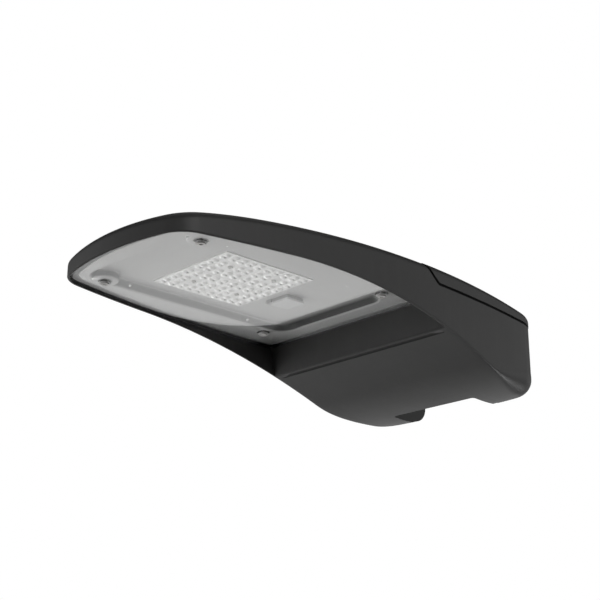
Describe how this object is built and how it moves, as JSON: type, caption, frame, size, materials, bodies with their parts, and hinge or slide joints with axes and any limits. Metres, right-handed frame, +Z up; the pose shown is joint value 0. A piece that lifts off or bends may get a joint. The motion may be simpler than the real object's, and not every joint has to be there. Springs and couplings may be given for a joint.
{
  "type": "led area light",
  "caption": "Slim cast LED area light with a glass lens over a reflector tray and optics, a screwed rear cover and a notch for a bolted arm.",
  "frame": {"origin": "centre of the two mounting bolts, on the mounting face of the notch", "axes": "+X from the mounting face to the nose, +Y across, +Z up"},
  "size_m": [0.612, 0.3072, 0.1333],
  "materials": {
    "casting": "dark grey satin powder coat on die-cast aluminium",
    "gasket": "matt black silicone rubber",
    "steel_screw": "plain stainless steel",
    "lens_glass": "clear toughened glass",
    "lens_seal": "pale grey silicone foam",
    "reflector": "pale grey satin reflector paint",
    "board_white": "white solder mask on a metal-core board",
    "led_phosphor": "yellow phosphor under clear silicone",
    "optic": "clear moulded acrylic, seen pale over the white board",
    "black_plastic": "black moulded nylon",
    "pale_plastic": "pale grey moulded nylon",
    "lead_red": "red wire insulation",
    "gear_steel": "zinc-plated sheet steel",
    "driver_case": "plain pale enamel",
    "ground_green": "green ground screw"
  },
  "bodies": {
    "root": {"housing": "casting", "rear_cover": "casting", "cover_gasket": "gasket", "cover_screws": "steel_screw", "glass_lens": "lens_glass", "lens_gasket": "lens_seal", "lens_washers": "gasket", "lens_screws": "steel_screw", "reflector_tray": "reflector", "tray_rivets": "steel_screw", "led_board": "board_white", "led_packages": "led_phosphor", "optic_plate_1": "optic", "optic_plate_2": "optic", "optic_plate_3": "optic", "optic_plate_4": "optic", "optic_screws": "steel_screw", "board_connector": "black_plastic", "connector_cap": "pale_plastic", "module_leads": "lead_red", "gear_plate": "gear_steel", "gear_plate_screws": "steel_screw", "driver": "driver_case", "driver_screws": "steel_screw", "surge_protector": "pale_plastic", "terminal_block": "pale_plastic", "ground_screw": "ground_green", "wire_grommet": "gasket"}
  },
  "joints": []
}
